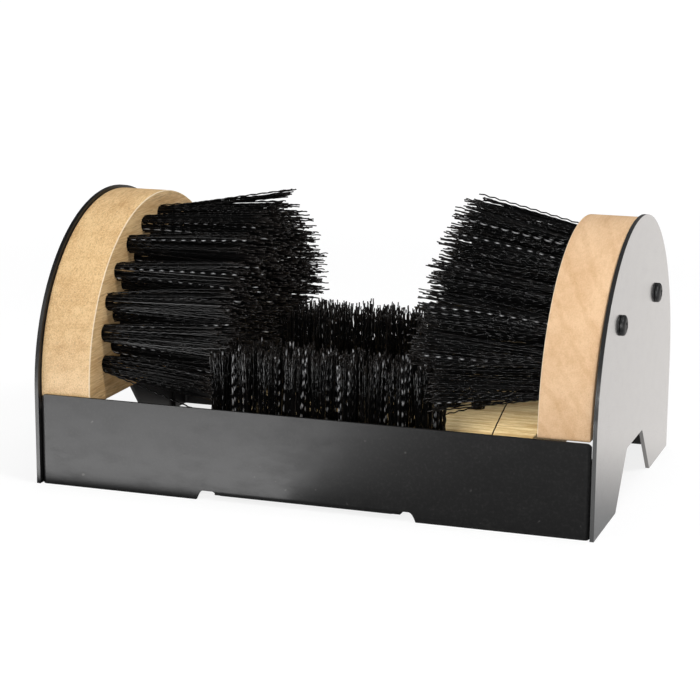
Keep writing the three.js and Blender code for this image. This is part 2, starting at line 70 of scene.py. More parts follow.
JOIN_DISTANCE = 0.00001
FLAT_ANGLE = math.radians(0.3)
FOLD_ANGLE = math.radians(38)
SHEET_EDGE_ROUNDING = 0.00035


def new_group(name, inputs, outputs):
    """An empty shader node group; sockets are given as (kind, name, default)."""
    group = bpy.data.node_groups.new(name, "ShaderNodeTree")
    for kind, label, value in inputs:
        socket = group.interface.new_socket(label, in_out="INPUT", socket_type=f"NodeSocket{kind}")
        if value is not None:
            socket.default_value = value
    for kind, label in outputs:
        group.interface.new_socket(label, in_out="OUTPUT", socket_type=f"NodeSocket{kind}")
    return group, group.nodes.new("NodeGroupInput"), group.nodes.new("NodeGroupOutput")


def put(tree, kind, feeds=(), **settings):
    """Adds a node, sets its properties and feeds its inputs with values or other outputs."""
    node = tree.nodes.new(kind)
    for label, value in settings.items():
        setattr(node, label, value)
    for label, source in dict(feeds).items():
        if isinstance(source, bpy.types.NodeSocket):
            tree.links.new(source, node.inputs[label])
        else:
            node.inputs[label].default_value = source
    return node


def noise(tree, where, scale, detail=2.0, roughness=0.5):
    """Soft noise between 0 and 1."""
    feeds = {"Vector": where, "Scale": scale, "Detail": detail, "Roughness": roughness}
    return put(tree, "ShaderNodeTexNoise", feeds).outputs["Fac"]


def ramp(tree, source, low, high, to_low=0.0, to_high=1.0):
    """Carries source smoothly from low and high to to_low and to_high, and holds it there."""
    feeds = {"Value": source, "From Min": low, "From Max": high, "To Min": to_low, "To Max": to_high}
    return put(tree, "ShaderNodeMapRange", feeds, interpolation_type="SMOOTHSTEP").outputs["Result"]


def math_node(tree, operation, a, b=0.5):
    """One step of arithmetic on a and b."""
    return put(tree, "ShaderNodeMath", {0: a, 1: b}, operation=operation).outputs[0]


def stretched(tree, where, scale):
    """The place multiplied by a scale for each axis."""
    return put(tree, "ShaderNodeVectorMath", {0: where, 1: scale}, operation="MULTIPLY").outputs[0]


def blended(tree, share, a, b):
    """Colour a, passing into colour b as share goes from 0 to 1."""
    node = put(tree, "ShaderNodeMix", data_type="RGBA")
    colours = [s for s in node.inputs if s.type == "RGBA"]
    for socket, source in ((node.inputs[0], share), (colours[0], a), (colours[1], b)):
        if isinstance(source, bpy.types.NodeSocket):
            tree.links.new(source, socket)
        else:
            socket.default_value = source
    return next(s for s in node.outputs if s.type == "RGBA")


def paint_skin_group():
    """Sprayed paint: fine orange peel, wiping smears, dust and a few pale specks."""
    group, given, made = new_group(
        "paint_skin",
        [("Vector", "Vector", None), ("Color", "Paint", PAINT_BLACK), ("Color", "Dust", PAINT_DUST),
         ("Float", "Dustiness", None), ("Float", "Dullness", None)],
        [("Color", "Color"), ("Float", "Roughness"), ("Float", "Height")],
    )
    where = given.outputs["Vector"]
    wiped = noise(group, stretched(group, where, (1, 1, 2.5)), scale=70, detail=5, roughness=0.7)
    smears = ramp(group, wiped, low=0.40, high=0.70)
    grains = ramp(group, noise(group, where, scale=700, detail=3, roughness=0.6), low=0.45, high=0.75)
    specks = ramp(group, noise(group, where, scale=240, detail=1, roughness=0.4),
                  low=0.735, high=0.80, to_low=0.0, to_high=5.0)
    # Half of the dust lies everywhere, the other half in the smears
    dust = math_node(group, "MULTIPLY", math_node(group, "MULTIPLY_ADD", smears, 0.5), grains)
    film = math_node(group, "MULTIPLY", math_node(group, "ADD", dust, specks), given.outputs["Dustiness"])
    colour = blended(group, film, given.outputs["Paint"], given.outputs["Dust"])
    peel = noise(group, where, scale=1500, detail=1, roughness=0.4)
    dulled = math_node(group, "MULTIPLY", smears, given.outputs["Dustiness"])
    rough = math_node(group, "ADD", math_node(group, "ADD", given.outputs["Dullness"], dulled),
                      math_node(group, "MULTIPLY", grains, GRAIN_DULLING))
    for label, source in (("Color", colour), ("Roughness", rough), ("Height", peel)):
        group.links.new(source, made.inputs[label])
    return group


paint_skin = paint_skin_group()


def surface(name):
    """A new material: its node tree, Principled shader and the piece's own coordinates."""
    material = bpy.data.materials.new(name)
    material.use_nodes = True
    tree = material.node_tree
    shader = tree.nodes["Principled BSDF"]
    where = put(tree, "ShaderNodeTexCoord").outputs["Object"]
    return material, tree, shader, where


def bumped(tree, shader, height, strength, distance):
    """Lets the height tilt the surface's normal, in shading only."""
    bump = put(tree, "ShaderNodeBump", {"Height": height, "Strength": strength, "Distance": distance})
    tree.links.new(bump.outputs["Normal"], shader.inputs["Normal"])


def black_paint(name, dustiness, dullness, refraction, clear_coat):
    """Sprayed black paint: refraction is its index, clear_coat the share of a glossy skin."""
    material, tree, shader, where = surface(name)
    skin = put(tree, "ShaderNodeGroup", node_tree=paint_skin)
    tree.links.new(where, skin.inputs["Vector"])
    skin.inputs["Dustiness"].default_value = dustiness
    skin.inputs["Dullness"].default_value = dullness
    tree.links.new(skin.outputs["Color"], shader.inputs["Base Color"])
    tree.links.new(skin.outputs["Roughness"], shader.inputs["Roughness"])
    bumped(tree, shader, skin.outputs["Height"], PEEL_STRENGTH, PEEL_DEPTH)
    shader.inputs["IOR"].default_value = refraction
    shader.inputs["Coat Weight"].default_value = clear_coat
    shader.inputs["Coat IOR"].default_value = refraction
    shader.inputs["Coat Roughness"].default_value = LACQUER_ROUGHNESS
    return material


def joined_faces_tree():
    """Joins the loose facets of an imported solid into one skin with normals of its own."""
    tree = bpy.data.node_groups.new("joined_faces", "GeometryNodeTree")
    tree.interface.new_socket("Geometry", in_out="INPUT", socket_type="NodeSocketGeometry")
    tree.interface.new_socket("Geometry", in_out="OUTPUT", socket_type="NodeSocketGeometry")
    given = tree.nodes.new("NodeGroupInput")
    made = tree.nodes.new("NodeGroupOutput")
    plain = put(tree, "GeometryNodeRemoveAttribute", {"Geometry": given.outputs[0], "Name": "custom_normal"})
    joined = put(tree, "GeometryNodeMergeByDistance",
                 {"Geometry": plain.outputs[0], "Distance": JOIN_DISTANCE})
    smooth = put(tree, "GeometryNodeSetShadeSmooth", {"Geometry": joined.outputs[0]}, domain="FACE")
    tree.links.new(smooth.outputs[0], made.inputs[0])
    return tree


joined_faces = joined_faces_tree()


def finish_sheet(node, material):
    """Paints a steel piece of the frame, with its cut edges slightly rounded."""
    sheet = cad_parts[node]
    sheet.data.materials.clear()
    sheet.data.materials.append(material)
    joined = sheet.modifiers.new("joined_faces", "NODES")
    joined.node_group = joined_faces
    flat = sheet.modifiers.new("flat_faces", "DECIMATE")
    flat.decimate_type = "DISSOLVE"
    flat.angle_limit = FLAT_ANGLE
    bevel = sheet.modifiers.new("edge_rounding", "BEVEL")
    bevel.width = SHEET_EDGE_ROUNDING
    bevel.segments = 2
    bevel.limit_method = "ANGLE"
    bevel.angle_limit = FOLD_ANGLE
    bevel.face_strength_mode = "FSTR_ALL"
    weighted = sheet.modifiers.new("flat_shading", "WEIGHTED_NORMAL")
    weighted.use_face_influence = True
    weighted.keep_sharp = True


tray_paint = black_paint("tray_paint", dustiness=0.10, dullness=0.39, refraction=1.33, clear_coat=0.0)
finish_sheet("folded_tray", tray_paint)

# End plates: flat steel with an arched top and a tapered cut-out that leaves two feet,
# painted like the tray and spot-welded to its folded ends.
left_paint = black_paint(
    "left_plate_paint", dustiness=0.04, dullness=0.38, refraction=1.4, clear_coat=0.0)
right_paint = black_paint(
    "right_plate_paint", dustiness=0.03, dullness=0.20, refraction=2.0, clear_coat=1.0)
finish_sheet("left_end_plate", left_paint)
finish_sheet("right_end_plate", right_paint)

# Side brush blocks: D-shaped pieces sawn from a pale hardwood board, planed and lightly
# sanded, with a drilled hole for every tuft. Each is screwed flat to its end plate, the
# right one standing a little off the plate at its foot.
BLOCK_EDGE_ROUNDING = 0.0006
BLOCK_CORNER_ROUNDING = 0.0013
ROUNDING_STEPS = 4
ARCH_STEPS = 120
TUFT_HOLE_RADIUS = 0.0039
TUFT_HOLE_DEPTH = 0.006
HOLE_STEPS = 20
TUFT_TOP_MARGIN = 0.0116
TUFT_END_MARGIN = 0.0186
TUFT_FOOT_MARGIN = 0.0192
TUFT_RING_STEP = 0.011
OUTER_RING_TUFTS = 13
TUFT_CROWDING = 0.021
FOOT_GAP = {"left": 0.0, "right": 0.0015}
CREASE_ANGLE = math.radians(40)
WOOD_PORE = (0.36, 0.22, 0.10, 1)
WOOD_REFRACTION = 1.4
CLOUD_SHARE = 0.4
FIBRE_RELIEF = 0.25
FIBRE_DEPTH = 0.0002
# A painted highlight along the arris between each side block's rim and its inner face
ARRIS_HIGHLIGHT = (0.98, 0.86, 0.66, 1)
ARRIS_WIDTH = 0.0007
ARRIS_SHARE = 0.8


def along_grain(tree, where, squeeze, scale, detail, roughness):
    """Noise drawn out along X; the smaller the squeeze, the longer its streaks."""
    return noise(tree, stretched(tree, where, (squeeze, 1, 1)), scale, detail, roughness)


def wood_figure_group():
    """Pale diffuse-porous wood whose grain runs along X: soft clouds and bands, fibres, pores
    and the growth rings of the log round the X axis."""
    group, given, made = new_group(
        "wood_figure",
        [("Vector", "Vector", None), ("Color", "Light", None), ("Color", "Dark", None),
         ("Color", "Pore", WOOD_PORE), ("Float", "Bands", None), ("Float", "Fibres", None),
         ("Float", "Pores", None), ("Float", "Rings", None)],
        [("Color", "Color"), ("Float", "Roughness"), ("Float", "Height")],
    )
    where = given.outputs["Vector"]
    clouds = along_grain(group, where, squeeze=0.25, scale=60, detail=3, roughness=0.6)
    clouds = ramp(group, clouds, low=0.35, high=0.7)
    bands = along_grain(group, where, squeeze=0.035, scale=200, detail=6, roughness=0.75)
    bands = ramp(group, bands, low=0.38, high=0.62)
    fibres = along_grain(group, where, squeeze=0.05, scale=1400, detail=4, roughness=0.75)
    pores = along_grain(group, where, squeeze=0.09, scale=1300, detail=2, roughness=0.6)
    pores = ramp(group, pores, low=0.56, high=0.68)
    share = math_node(group, "ADD", math_node(group, "MULTIPLY", clouds, CLOUD_SHARE),
                      math_node(group, "MULTIPLY", bands, given.outputs["Bands"]))
    streaks = ramp(group, fibres, low=0.36, high=0.64, to_low=-1, to_high=1)
    share = math_node(group, "ADD", share, math_node(group, "MULTIPLY", streaks, given.outputs["Fibres"]))
    years = put(group, "ShaderNodeTexWave",
                {"Vector": where, "Scale": 30, "Distortion": 1.6, "Detail": 1, "Detail Scale": 4},
                wave_type="RINGS", rings_direction="X")
    late = ramp(group, years.outputs["Fac"], low=0.7, high=1.0)
    share = math_node(group, "ADD", share, math_node(group, "MULTIPLY", late, given.outputs["Rings"]))
    plain = blended(group, put(group, "ShaderNodeClamp", {"Value": share}).outputs[0],
                    given.outputs["Light"], given.outputs["Dark"])
    spotted = blended(group, math_node(group, "MULTIPLY", pores, given.outputs["Pores"]),
                      plain, given.outputs["Pore"])
    height = math_node(group, "SUBTRACT", fibres, pores)
    rough = ramp(group, fibres, low=0.2, high=0.8, to_low=0.52, to_high=0.7)
    for label, source in (("Color", spotted), ("Roughness", rough), ("Height", height)):
        group.links.new(source, made.inputs[label])
    return group


wood_figure = wood_figure_group()


def planed_wood(name, turn, shift, light, dark, bands, fibres, pores, rings):
    """Wood with its own cut of the log: turn lays the grain, shift picks the place."""
    material, tree, shader, where = surface(name)
    laid = put(tree, "ShaderNodeMapping", {"Vector": where, "Location": shift, "Rotation": turn})
    figure = put(tree, "ShaderNodeGroup", node_tree=wood_figure)
    tree.links.new(laid.outputs[0], figure.inputs["Vector"])
    for label, value in (("Light", light), ("Dark", dark), ("Bands", bands), ("Fibres", fibres),
                         ("Pores", pores), ("Rings", rings)):
        figure.inputs[label].default_value = value
    tree.links.new(figure.outputs["Color"], shader.inputs["Base Color"])
    tree.links.new(figure.outputs["Roughness"], shader.inputs["Roughness"])
    bumped(tree, shader, figure.outputs["Height"], FIBRE_RELIEF, FIBRE_DEPTH)
    shader.inputs["IOR"].default_value = WOOD_REFRACTION
    return material


def painted_arris_highlight(material, centre, radius, face):
    """Paints a pale highlight along the arris between a side block's rim and its inner face."""
    tree = material.node_tree
    spot = put(tree, "ShaderNodeSeparateXYZ", {"Vector": put(tree, "ShaderNodeTexCoord").outputs["Object"]})
    out = math_node(tree, "ABSOLUTE", math_node(tree, "SUBTRACT", spot.outputs["X"], face))
    up = math_node(tree, "SUBTRACT", spot.outputs["Z"], centre)
    flat = put(tree, "ShaderNodeCombineXYZ", {"X": spot.outputs["Y"], "Y": up})
    reach = put(tree, "ShaderNodeVectorMath", {0: flat.outputs[0]}, operation="LENGTH").outputs["Value"]
    mask = math_node(tree, "MULTIPLY", ramp(tree, out, 0, ARRIS_WIDTH, ARRIS_SHARE, 0),
                     ramp(tree, reach, radius - ARRIS_WIDTH, radius - ARRIS_WIDTH / 4))
    socket = tree.nodes["Principled BSDF"].inputs["Base Color"]
    figure = socket.links[0].from_socket
    tree.links.new(blended(tree, mask, figure, ARRIS_HIGHLIGHT), socket)


def board(outline, low, high):
    """A sawn board as a bmesh along Z: outline(inset) gives its contour, edges are rounded."""
    levels = []
    for step in range(ROUNDING_STEPS + 1):
        angle = math.pi / 2 * step / ROUNDING_STEPS
        inset = BLOCK_EDGE_ROUNDING * (1 - math.sin(angle))
        levels.append((inset, BLOCK_EDGE_ROUNDING * (1 - math.cos(angle))))
    heights = [(inset, low + rise) for inset, rise in levels]
    heights += [(inset, high - rise) for inset, rise in reversed(levels)]
    mesh = bmesh.new()
    rings = [[mesh.verts.new((x, y, z)) for x, y in outline(inset)] for inset, z in heights]
    for lower, upper in zip(rings, rings[1:]):
        for i in range(len(lower)):
            mesh.faces.new((lower[i - 1], lower[i], upper[i], upper[i - 1]))
    mesh.faces.new(list(reversed(rings[0])))
    mesh.faces.new(rings[-1])
    return mesh


def rounded_corner(x, y, radius, start):
    """Points of a quarter round that turns left from the direction start, about (x, y)."""
    angles = [start + math.pi / 2 * i / ROUNDING_STEPS for i in range(ROUNDING_STEPS + 1)]
    return [(x + radius * math.cos(a), y + radius * math.sin(a)) for a in angles]


def cut_away(solid, cutter):
    """The solid less the cutter; the cutter's bodies may overlap. Uses both up."""
    pair = []
    for name, source in (("solid", solid), ("cutter", cutter)):
        data = bpy.data.meshes.new(name)
        source.to_mesh(data)
        source.free()
        item = bpy.data.objects.new(name, data)
        bpy.context.scene.collection.objects.link(item)
        pair.append(item)
    cut = pair[0].modifiers.new("cut", "BOOLEAN")
    cut.operation = "DIFFERENCE"
    cut.solver = "EXACT"
    cut.use_self = True
    cut.object = pair[1]
    evaluated = pair[0].evaluated_get(bpy.context.evaluated_depsgraph_get())
    result = bpy.data.meshes.new_from_object(evaluated)
    for item in pair:
        bpy.data.objects.remove(item)
    return result


def drilled(solid, places, face, radius, depth):
    """Cuts blind round holes into the board's face at Z = face."""
    drill = bmesh.new()
    for x, y in places:
        matrix = Matrix.Translation((x, y, face))
        bmesh.ops.create_cone(drill, cap_ends=True, segments=HOLE_STEPS, radius1=radius, radius2=radius,
                              depth=2 * depth, matrix=matrix)
    return cut_away(solid, drill)


def add_piece(name, mesh, material, slot, *nodes):
    """Puts a finished mesh into the scene in place of its plain solids."""
    mesh.materials.clear()
    mesh.materials.append(material)
    piece = bpy.data.objects.new(name, mesh)
    bpy.context.scene.collection.objects.link(piece)
    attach(piece, "root")
    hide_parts(*nodes)
    return piece


def shade_corners(mesh):
    """Shades rounded corners smoothly and keeps real edges crisp."""
    mesh.polygons.foreach_set("use_smooth", [True] * len(mesh.polygons))
    mesh.set_sharp_from_angle(angle=CREASE_ANGLE)


def side_tuft_places(block_radius, centre, foot):
    """Tuft centres on a side block as (across, up): rings round the block's centre that run
    straight down at the ends, every second ring turned by half a step, a little closer
    together towards the foot."""
    radius = block_radius - TUFT_TOP_MARGIN
    reach = block_radius - TUFT_END_MARGIN
    lowest = foot + TUFT_FOOT_MARGIN - centre
    pitch = radius * (math.pi - 2 * math.asin(lowest / radius)) / (OUTER_RING_TUFTS - 1)
    rings = []
    while radius > max(TUFT_RING_STEP, lowest):
        start = math.asin(lowest / radius)
        sweep = math.pi - 2 * start
        steps = max(1, round(radius * sweep / pitch))
        half = 0.5 * (len(rings) % 2)
        ring = []
        for i in range(steps + 1 - round(2 * half)):
            share = (i + half) / steps
            angle = start + sweep * (share - TUFT_CROWDING * math.sin(2 * math.pi * share))
            across = max(-reach, min(reach, radius * math.cos(angle)))
            ring.append((across, centre + radius * math.sin(angle)))
        rings.append(ring)
        radius -= TUFT_RING_STEP
        reach -= TUFT_RING_STEP
    return rings


def block_sizes(side):
    """A side block's lowest and highest corner, its arch's radius and centre height."""
    low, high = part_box(f"{side}_brush_block")
    radius = (high.y - low.y) / 2
    return low, high, radius, high.z - radius


side_wood = {
    "left": planed_wood(
        "left_block_wood", turn=(0, 0, math.radians(90)), shift=(0.31, 0.12, 0.07),
        light=(0.79, 0.55, 0.28, 1), dark=(0.56, 0.33, 0.14, 1),
        bands=0.35, fibres=0.45, pores=0.5, rings=0.15),
    "right": planed_wood(
        "right_block_wood", turn=(0, math.radians(6), math.radians(86)), shift=(0.83, 0.45, 0.22),
        light=(0.78, 0.53, 0.315, 1), dark=(0.60, 0.36, 0.18, 1),
        bands=0.25, fibres=0.16, pores=0.15, rings=0.22),
}
for side, way in (("left", -1), ("right", 1)):
    low, high, radius, centre = block_sizes(side)

    def arch(inset, radius=radius, centre=centre, bottom=low.z):
        """The block's contour set in by inset: rounded foot corners under an arch."""
        corner = BLOCK_CORNER_ROUNDING - inset
        x = radius - inset - corner
        y = bottom + inset + corner
        points = rounded_corner(-x, y, corner, math.pi) + rounded_corner(x, y, corner, -math.pi / 2)
        for i in range(ARCH_STEPS + 1):
            angle = math.pi * i / ARCH_STEPS
            points.append(((radius - inset) * math.cos(angle), centre + (radius - inset) * math.sin(angle)))
        return points

    places = [place for ring in side_tuft_places(radius, centre, low.z) for place in ring]
    thickness = high.x - low.x
    wood = drilled(board(arch, 0, thickness), places, thickness, TUFT_HOLE_RADIUS, TUFT_HOLE_DEPTH)
    # The board is drawn lying down, back face at Z = 0: stood up, its face looks inwards
    back = low.x if side == "left" else high.x
    for vertex in wood.vertices:
        across, up, out = vertex.co
        lift = FOOT_GAP[side] * max(0, 1 - out / thickness) * (high.z - up) / (high.z - low.z)
        vertex.co = (back - way * (out + lift), -way * across, up)
    shade_corners(wood)
    # Paints a highlight along the arris of the block's inner face
    painted_arris_highlight(side_wood[side], centre, radius, high.x if side == "left" else low.x)
    add_piece(f"{side}_wood_block", wood, side_wood[side], "wood", f"{side}_brush_block")

# Base brush block: a rectangular board of the same wood, its grain along the tray, with two
# bands of tuft holes and a bare right end. It lies on the cross strip, screwed from below.
BASE_BACKING_MARGIN = 0.005
BASE_TUFT_COLUMNS = 9
BASE_TUFT_ROWS = 3
FOOT_TOLERANCE = 1e-5


def slice_of(node):
    """The corners of the wooden slice that a band's strands stand on."""
    low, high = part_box(node)
    flat = [v.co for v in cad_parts[node].data.vertices if v.co.z < low.z + FOOT_TOLERANCE]
    xs = [co.x for co in flat]
    ys = [co.y for co in flat]
    return Vector((min(xs), min(ys), low.z)), Vector((max(xs), max(ys), high.z))


def base_tuft_places(node):
    """Tuft centres of one band, in rows along X, from the band's slice of the block."""
    low, high = slice_of(node)
    xs = np.linspace(low.x + BASE_BACKING_MARGIN, high.x - BASE_BACKING_MARGIN, BASE_TUFT_COLUMNS)
    ys = np.linspace(low.y + BASE_BACKING_MARGIN, high.y - BASE_BACKING_MARGIN, BASE_TUFT_ROWS)
    return [[(float(x), float(y)) for x in xs] for y in ys]


base_low, base_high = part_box("base_brush_block")


def rectangle(inset):
    """The board's contour with rounded corners, set in by inset."""
    corner = BLOCK_CORNER_ROUNDING - inset
    x0, x1 = base_low.x + inset + corner, base_high.x - inset - corner
    y0, y1 = base_low.y + inset + corner, base_high.y - inset - corner
    points = rounded_corner(x1, y1, corner, 0) + rounded_corner(x0, y1, corner, math.pi / 2)
    points += rounded_corner(x0, y0, corner, math.pi) + rounded_corner(x1, y0, corner, 1.5 * math.pi)
    return points


bands = {end: base_tuft_places(f"base_bristles_{end}") for end in ("front", "rear")}
places = [place for rows in bands.values() for row in rows for place in row]
sawn = board(rectangle, base_low.z, base_high.z)
base_wood = drilled(sawn, places, base_high.z, TUFT_HOLE_RADIUS, TUFT_HOLE_DEPTH)
shade_corners(base_wood)
base_finish = planed_wood(
    "base_block_wood", turn=(0, 0, 0), shift=(0.52, 0.33, 0.64),
    light=(0.84, 0.68, 0.38, 1), dark=(0.52, 0.34, 0.14, 1),
    bands=0.8, fibres=0.6, pores=0.75, rings=0.25)
add_piece("base_wood_block", base_wood, base_finish, "wood", "base_brush_block")

# Side bristles: tufts of crimped black plastic filament, pushed into the drilled holes and
# stapled. They lean apart towards their tips, which are cut off level and stay ragged.
FILAMENT_RADIUS = 0.00039
FILAMENT_SIDES = 3
THICKNESS_VARIES = (0.88, 1.1)
CRIMP_LENGTH = 0.0055
CRIMP_DEPTH = 0.00027
CRIMP_VARIES = (0.6, 1.15)
CRIMP_POINTS = 4
FIRST_CRIMP = 0.0015
STRAIGHT_ROOT = 0.6
TUFT_ROOT_RADIUS = 0.0035
TUFT_ROOT_DEPTH = 0.004
# Each tuft is folded over its staple, so its two halves stand a little apart
TUFT_FOLD = 0.0007
GOLDEN_TURN = math.pi * (3 - math.sqrt(5))
BAKE_STRIPS = 32
CAP_SHARE = 0.3
SIDE_FILAMENTS = (46, 43, 40, 36, 34, 34, 34)
SIDE_SPREAD = {"left": (0.0, 0.01), "right": (0.05, 0.135)}
SIDE_LEAN = {"left": 0.0055, "right": 0.0}
SIDE_FAN = 0.0085
SIDE_LENGTH = {"left": 0.0625, "right": 0.0665}
SIDE_TOP_TRIM = {"left": -0.002, "right": 0.010}
SIDE_RAGGED = (-0.003, 0.0055)
SIDE_WANDER = 0.0014
SIDE_DROOP = {"left": 0.0075, "right": 0.006}
DROOP_SPAN = 0.018
LOW_TIP_RISE = 0.0735
LOW_TIP_REACH = 0.0595
HIGHEST_TIP = 0.1442
# A wisp of longer bristles out of the left brush's top tuft: its first and last one
WISP_ROOTS = ((-0.1200, 0.003, 0.1290), (-0.1200, 0.008, 0.1285))
WISP_TIPS = ((-0.0388, 0.000, 0.1448), (-0.0480, 0.010, 0.1382))
WISP_BRISTLES = 17
WISP_WANDER = 0.0006
# Single bristles that have come away from their tufts, from root to tip
STRAYS = {
    "left": [((-0.1197, -0.0735, 0.0585), (-0.0701, -0.066, 0.0398))],
    "right": [((0.1197, -0.0690, 0.0640), (0.0637, -0.066, 0.0481)),
              ((0.1010, -0.0600, 0.0700), (0.0861, -0.060, 0.0387))],
}
BRISTLE_BLACK = (0.003, 0.003, 0.0031, 1)
# Browner tone of some filaments; the same colour at the tips is a painted glint on the cut ends
BRISTLE_WORN_AND_GLINT = (0.012, 0.010, 0.009, 1)
# The grey of the painted glints on the crimp crests
BRISTLE_GLINT = (0.5, 0.5, 0.51, 1)
BRISTLE_REFRACTION = 1.33
# Filaments share the strips of the map for baking in turn; those on these strips get painted glints
SIDE_GLINT_STRIPS = {"left": (3,), "right": (3, 17)}
CREST_SHARPNESS = 3
CREST_START = 1.6

draw = np.random.default_rng(11)


def bristle_plastic():
    """Glossy black plastic, duller and a shade browner on some filaments, with painted glints:
    the tips a shade lighter, and the crimp crests of a few filaments grey.
    """
    material, tree, shader, where = surface("bristle_plastic")
    shade = put(tree, "ShaderNodeAttribute", attribute_name="shade").outputs["Fac"]
    along = put(tree, "ShaderNodeAttribute", attribute_name="along").outputs["Fac"]
    patches = ramp(tree, noise(tree, where, scale=160), low=0.4, high=0.7)
    # A shade browner and lighter at the tips: a painted glint on the cut ends
    tips = ramp(tree, along, low=0.9, high=1.0)
    worn = math_node(tree, "MULTIPLY", shade, patches)
    share = put(tree, "ShaderNodeClamp", {"Value": math_node(tree, "ADD", worn, tips)}).outputs[0]
    colour = blended(tree, share, BRISTLE_BLACK, BRISTLE_WORN_AND_GLINT)
    # Painted glints: grey on the crimp crests of the filaments in the glint strips
    crest_glint = put(tree, "ShaderNodeAttribute", attribute_name="crest_glint").outputs["Fac"]
    tree.links.new(blended(tree, crest_glint, colour, BRISTLE_GLINT), shader.inputs["Base Color"])
    dull = math_node(tree, "ADD", shade, math_node(tree, "MULTIPLY", patches, 0.5))
    rough = ramp(tree, dull, low=0.0, high=1.5, to_low=0.10, to_high=0.24)
    tree.links.new(rough, shader.inputs["Roughness"])
    shader.inputs["IOR"].default_value = BRISTLE_REFRACTION
    return material


def filaments(name, roots, ends, sag, glint_strips):
    """One mesh of crimped filaments from roots to ends, each bowed by sag at its middle. Those
    in the glint strips get a painted glint, grey where the crimp bends them most."""
    count = len(roots)
    run = ends - roots
    length = np.linalg.norm(run, axis=1)
    waves = np.median(length) / CRIMP_LENGTH
    steps = int(round(waves * CRIMP_POINTS))
    share = np.linspace(0, 1, steps + 1)
    heading = run / length[:, None]
    across = np.cross(heading, draw.normal(size=(count, 3)))
    across /= np.linalg.norm(across, axis=1)[:, None]
    phase = draw.uniform(0, 2 * math.pi / CRIMP_POINTS, count)
    turns = 2 * math.pi / CRIMP_POINTS * np.arange(steps + 1)[None, :] + phase[:, None]
    depth = CRIMP_DEPTH * draw.uniform(*CRIMP_VARIES, count)[:, None]
    rise = np.clip(share[None, :] * length[:, None] / FIRST_CRIMP - STRAIGHT_ROOT, 0, 1)
    wave = depth * rise * np.sin(turns)
    line = roots[:, None] + run[:, None] * share[None, :, None]
    line = line + sag[:, None] * (4 * share * (1 - share))[None, :, None]
    line = line + across[:, None] * wave[..., None]

    along = np.gradient(line, axis=1)
    along /= np.linalg.norm(along, axis=2)[..., None]
    first = across[:, None] - along * np.sum(across[:, None] * along, axis=2)[..., None]
    first /= np.linalg.norm(first, axis=2)[..., None]
    second = np.cross(along, first)
    turn = 2 * math.pi * np.arange(FILAMENT_SIDES) / FILAMENT_SIDES
    thick = FILAMENT_RADIUS * draw.uniform(*THICKNESS_VARIES, count)[:, None, None, None]
    spot = line[:, :, None] + thick * (
        first[:, :, None] * np.cos(turn)[None, None, :, None]
        + second[:, :, None] * np.sin(turn)[None, None, :, None])

    number = np.arange(count * (steps + 1) * FILAMENT_SIDES).reshape(count, steps + 1, FILAMENT_SIDES)
    after = np.roll(number, -1, axis=2)
    quads = np.stack([number[:, :-1], after[:, :-1], after[:, 1:], number[:, 1:]], axis=-1).reshape(-1, 4)
    caps = np.concatenate([number[:, 0, ::-1], number[:, -1]])
    mesh = bpy.data.meshes.new(name)
    mesh.vertices.add(spot.size // 3)
    mesh.vertices.foreach_set("co", spot.astype(np.float32).ravel())
    mesh.loops.add(quads.size + caps.size)
    mesh.loops.foreach_set("vertex_index", np.concatenate([quads.ravel(), caps.ravel()]).astype(np.int32))
    mesh.polygons.add(len(quads) + len(caps))
    starts = np.concatenate([
        4 * np.arange(len(quads)), quads.size + FILAMENT_SIDES * np.arange(len(caps))])
    mesh.polygons.foreach_set("loop_start", starts.astype(np.int32))
    smooth = np.concatenate([np.ones(len(quads), bool), np.zeros(len(caps), bool)])
    mesh.polygons.foreach_set("use_smooth", smooth)
    mesh.update(calc_edges=True)

    shade = mesh.attributes.new("shade", "FLOAT", "POINT")
    rings = (steps + 1) * FILAMENT_SIDES
    shade.data.foreach_set("value", np.repeat(draw.uniform(0, 1, count) ** 2, rings).astype(np.float32))
    # Painted glints: a grey share on the crimp crests of filaments in the glint strips
    grey = np.isin(np.arange(count) % BAKE_STRIPS, glint_strips)
    glint_share = np.clip(CREST_SHARPNESS * np.sin(turns) - CREST_START, 0, 1) * grey[:, None]
    crest_glint = mesh.attributes.new("crest_glint", "FLOAT", "POINT")
    crest_glint.data.foreach_set("value", np.repeat(glint_share.ravel(), FILAMENT_SIDES).astype(np.float32))
    place = mesh.attributes.new("along", "FLOAT", "POINT")
    place.data.foreach_set("value", np.tile(np.repeat(share, FILAMENT_SIDES), count).astype(np.float32))
    lay_strips(mesh, count, steps)
    return mesh


def lay_strips(mesh, count, steps):
    """A map for baking on which each filament lies in one upright strip, shared in turn."""
    strip = (np.arange(count) % BAKE_STRIPS)[:, None, None]
    left = (strip + (np.arange(FILAMENT_SIDES) / FILAMENT_SIDES)[None, None, :]) / BAKE_STRIPS
    right = left + 1 / (FILAMENT_SIDES * BAKE_STRIPS)
    level = (np.arange(steps) / steps)[None, :, None]
    shape = (count, steps, FILAMENT_SIDES)
    corners = [(left, level), (right, level), (right, level + 1 / steps), (left, level + 1 / steps)]
    sides = np.stack([np.stack([np.broadcast_to(u, shape), np.broadcast_to(v, shape)], -1)
                      for u, v in corners], axis=3)
    turn = 2 * math.pi * np.arange(FILAMENT_SIDES) / FILAMENT_SIDES
    disc = CAP_SHARE / BAKE_STRIPS * np.stack([np.cos(turn), np.sin(turn)], -1)
    middle = np.stack([(np.arange(count) % BAKE_STRIPS + 0.5) / BAKE_STRIPS, np.full(count, 0.5)], -1)
    ends = np.concatenate([middle[:, None] + disc[None], middle[:, None] + disc[None]])
    layer = mesh.uv_layers.new(name="OFBake")
    flat = np.concatenate([sides.reshape(-1, 2), ends.reshape(-1, 2)]).astype(np.float32)
    layer.uv.foreach_set("vector", flat.ravel())


